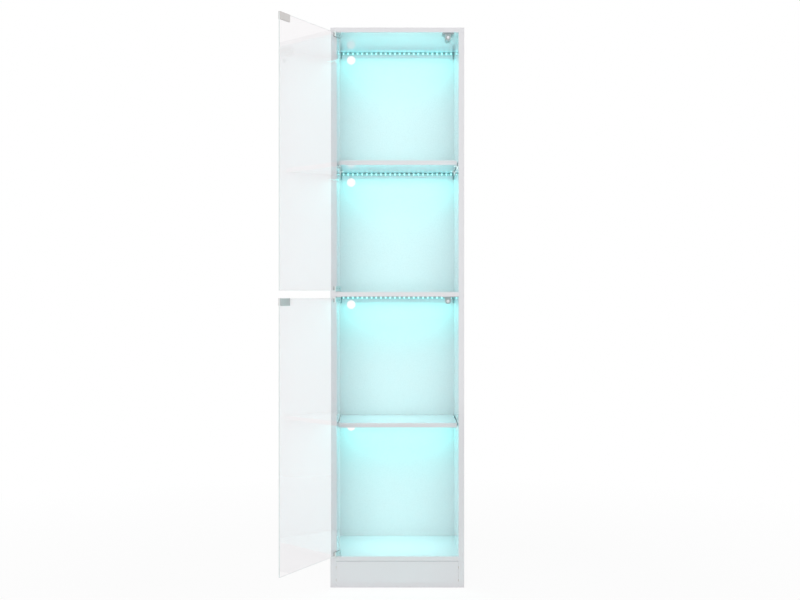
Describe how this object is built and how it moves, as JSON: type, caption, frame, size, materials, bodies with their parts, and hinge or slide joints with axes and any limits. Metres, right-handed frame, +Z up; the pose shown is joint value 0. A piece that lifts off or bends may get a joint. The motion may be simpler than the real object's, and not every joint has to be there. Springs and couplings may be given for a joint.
{
  "type": "glass display cabinet",
  "caption": "Tall narrow white display cabinet with two inset frameless glass doors on pivot clamps, removable shelves, push catches and light strips at the back.",
  "frame": {"origin": "on the floor, in the middle of the foot of the plinth board", "axes": "+X to the viewer's right, +Y to the back, +Z up; the doors face -Y"},
  "size_m": [0.5672, 0.711, 1.8],
  "materials": {
    "white_foil_board": "high-gloss white foil on particle board",
    "white_hardboard": "smooth white lacquer on hardboard",
    "clear_glass": "clear tempered, polished edges",
    "chrome_plate": "bright plated zinc",
    "pressed_steel": "satin nickel-plated sheet",
    "steel_hardware": "zinc-plated",
    "zinc_cam": "raw die-cast zinc",
    "beech_dowel": "plain fluted beech",
    "black_rubber": "soft matt",
    "white_plastic": "moulded, satin",
    "grey_plastic": "moulded, satin",
    "strip_tape": "white tape under clear resin",
    "lamp_chip": "cyan lamp under clear resin",
    "dark_metal": "nickel-plated magnet"
  },
  "bodies": {
    "cabinet": {"top_panel": "white_foil_board", "mid_panel": "white_foil_board", "bottom_panel": "white_foil_board", "upper_left_side": "white_foil_board", "upper_right_side": "white_foil_board", "lower_left_side": "white_foil_board", "lower_right_side": "white_foil_board", "plinth": "white_foil_board", "upper_shelf": "white_foil_board", "lower_shelf": "white_foil_board", "upper_back_panel": "white_hardboard", "lower_back_panel": "white_hardboard", "cam_discs": "zinc_cam", "cam_bolts": "steel_hardware", "wood_dowels": "beech_dowel", "upper_shelf_supports": "chrome_plate", "lower_shelf_supports": "chrome_plate", "upper_catch_housing": "grey_plastic", "lower_catch_housing": "grey_plastic", "upper_catch_spring": "steel_hardware", "lower_catch_spring": "steel_hardware", "catch_screws": "steel_hardware", "pivot_bushes": "white_plastic", "strip_connectors": "grey_plastic", "first_light_strip": "strip_tape", "first_light_chips": "lamp_chip", "second_light_strip": "strip_tape", "second_light_chips": "lamp_chip", "third_light_strip": "strip_tape", "third_light_chips": "lamp_chip", "fourth_light_strip": "strip_tape", "fourth_light_chips": "lamp_chip"},
    "upper_door": {"upper_door_glass": "clear_glass", "upper_door_clamps": "chrome_plate", "upper_clamp_pads": "black_rubber", "upper_clamp_screws": "steel_hardware", "upper_pivot_pins": "steel_hardware", "upper_strike_plate": "pressed_steel"},
    "lower_door": {"lower_door_glass": "clear_glass", "lower_door_clamps": "chrome_plate", "lower_clamp_pads": "black_rubber", "lower_clamp_screws": "steel_hardware", "lower_pivot_pins": "steel_hardware", "lower_strike_plate": "pressed_steel"},
    "upper_plunger": {"upper_catch_plunger": "white_plastic", "upper_catch_magnet": "dark_metal"},
    "lower_plunger": {"lower_catch_plunger": "white_plastic", "lower_catch_magnet": "dark_metal"}
  },
  "joints": [
    {"name": "upper_door_hinge", "type": "hinge", "parent": "cabinet", "child": "upper_door", "pos_m": [-0.188, -0.001, 0.954], "axis": [0, 0, 1], "range_deg": [0, 115]},
    {"name": "lower_door_hinge", "type": "hinge", "parent": "cabinet", "child": "lower_door", "pos_m": [-0.188, -0.001, 0.104], "axis": [0, 0, 1], "range_deg": [0, 115]},
    {"name": "upper_catch_push", "type": "slide", "parent": "cabinet", "child": "upper_plunger", "axis": [0, 1, 0], "range_m": [0, 0.003], "stiffness_N_per_m": 600},
    {"name": "lower_catch_push", "type": "slide", "parent": "cabinet", "child": "lower_plunger", "axis": [0, 1, 0], "range_m": [0, 0.003], "stiffness_N_per_m": 600}
  ]
}
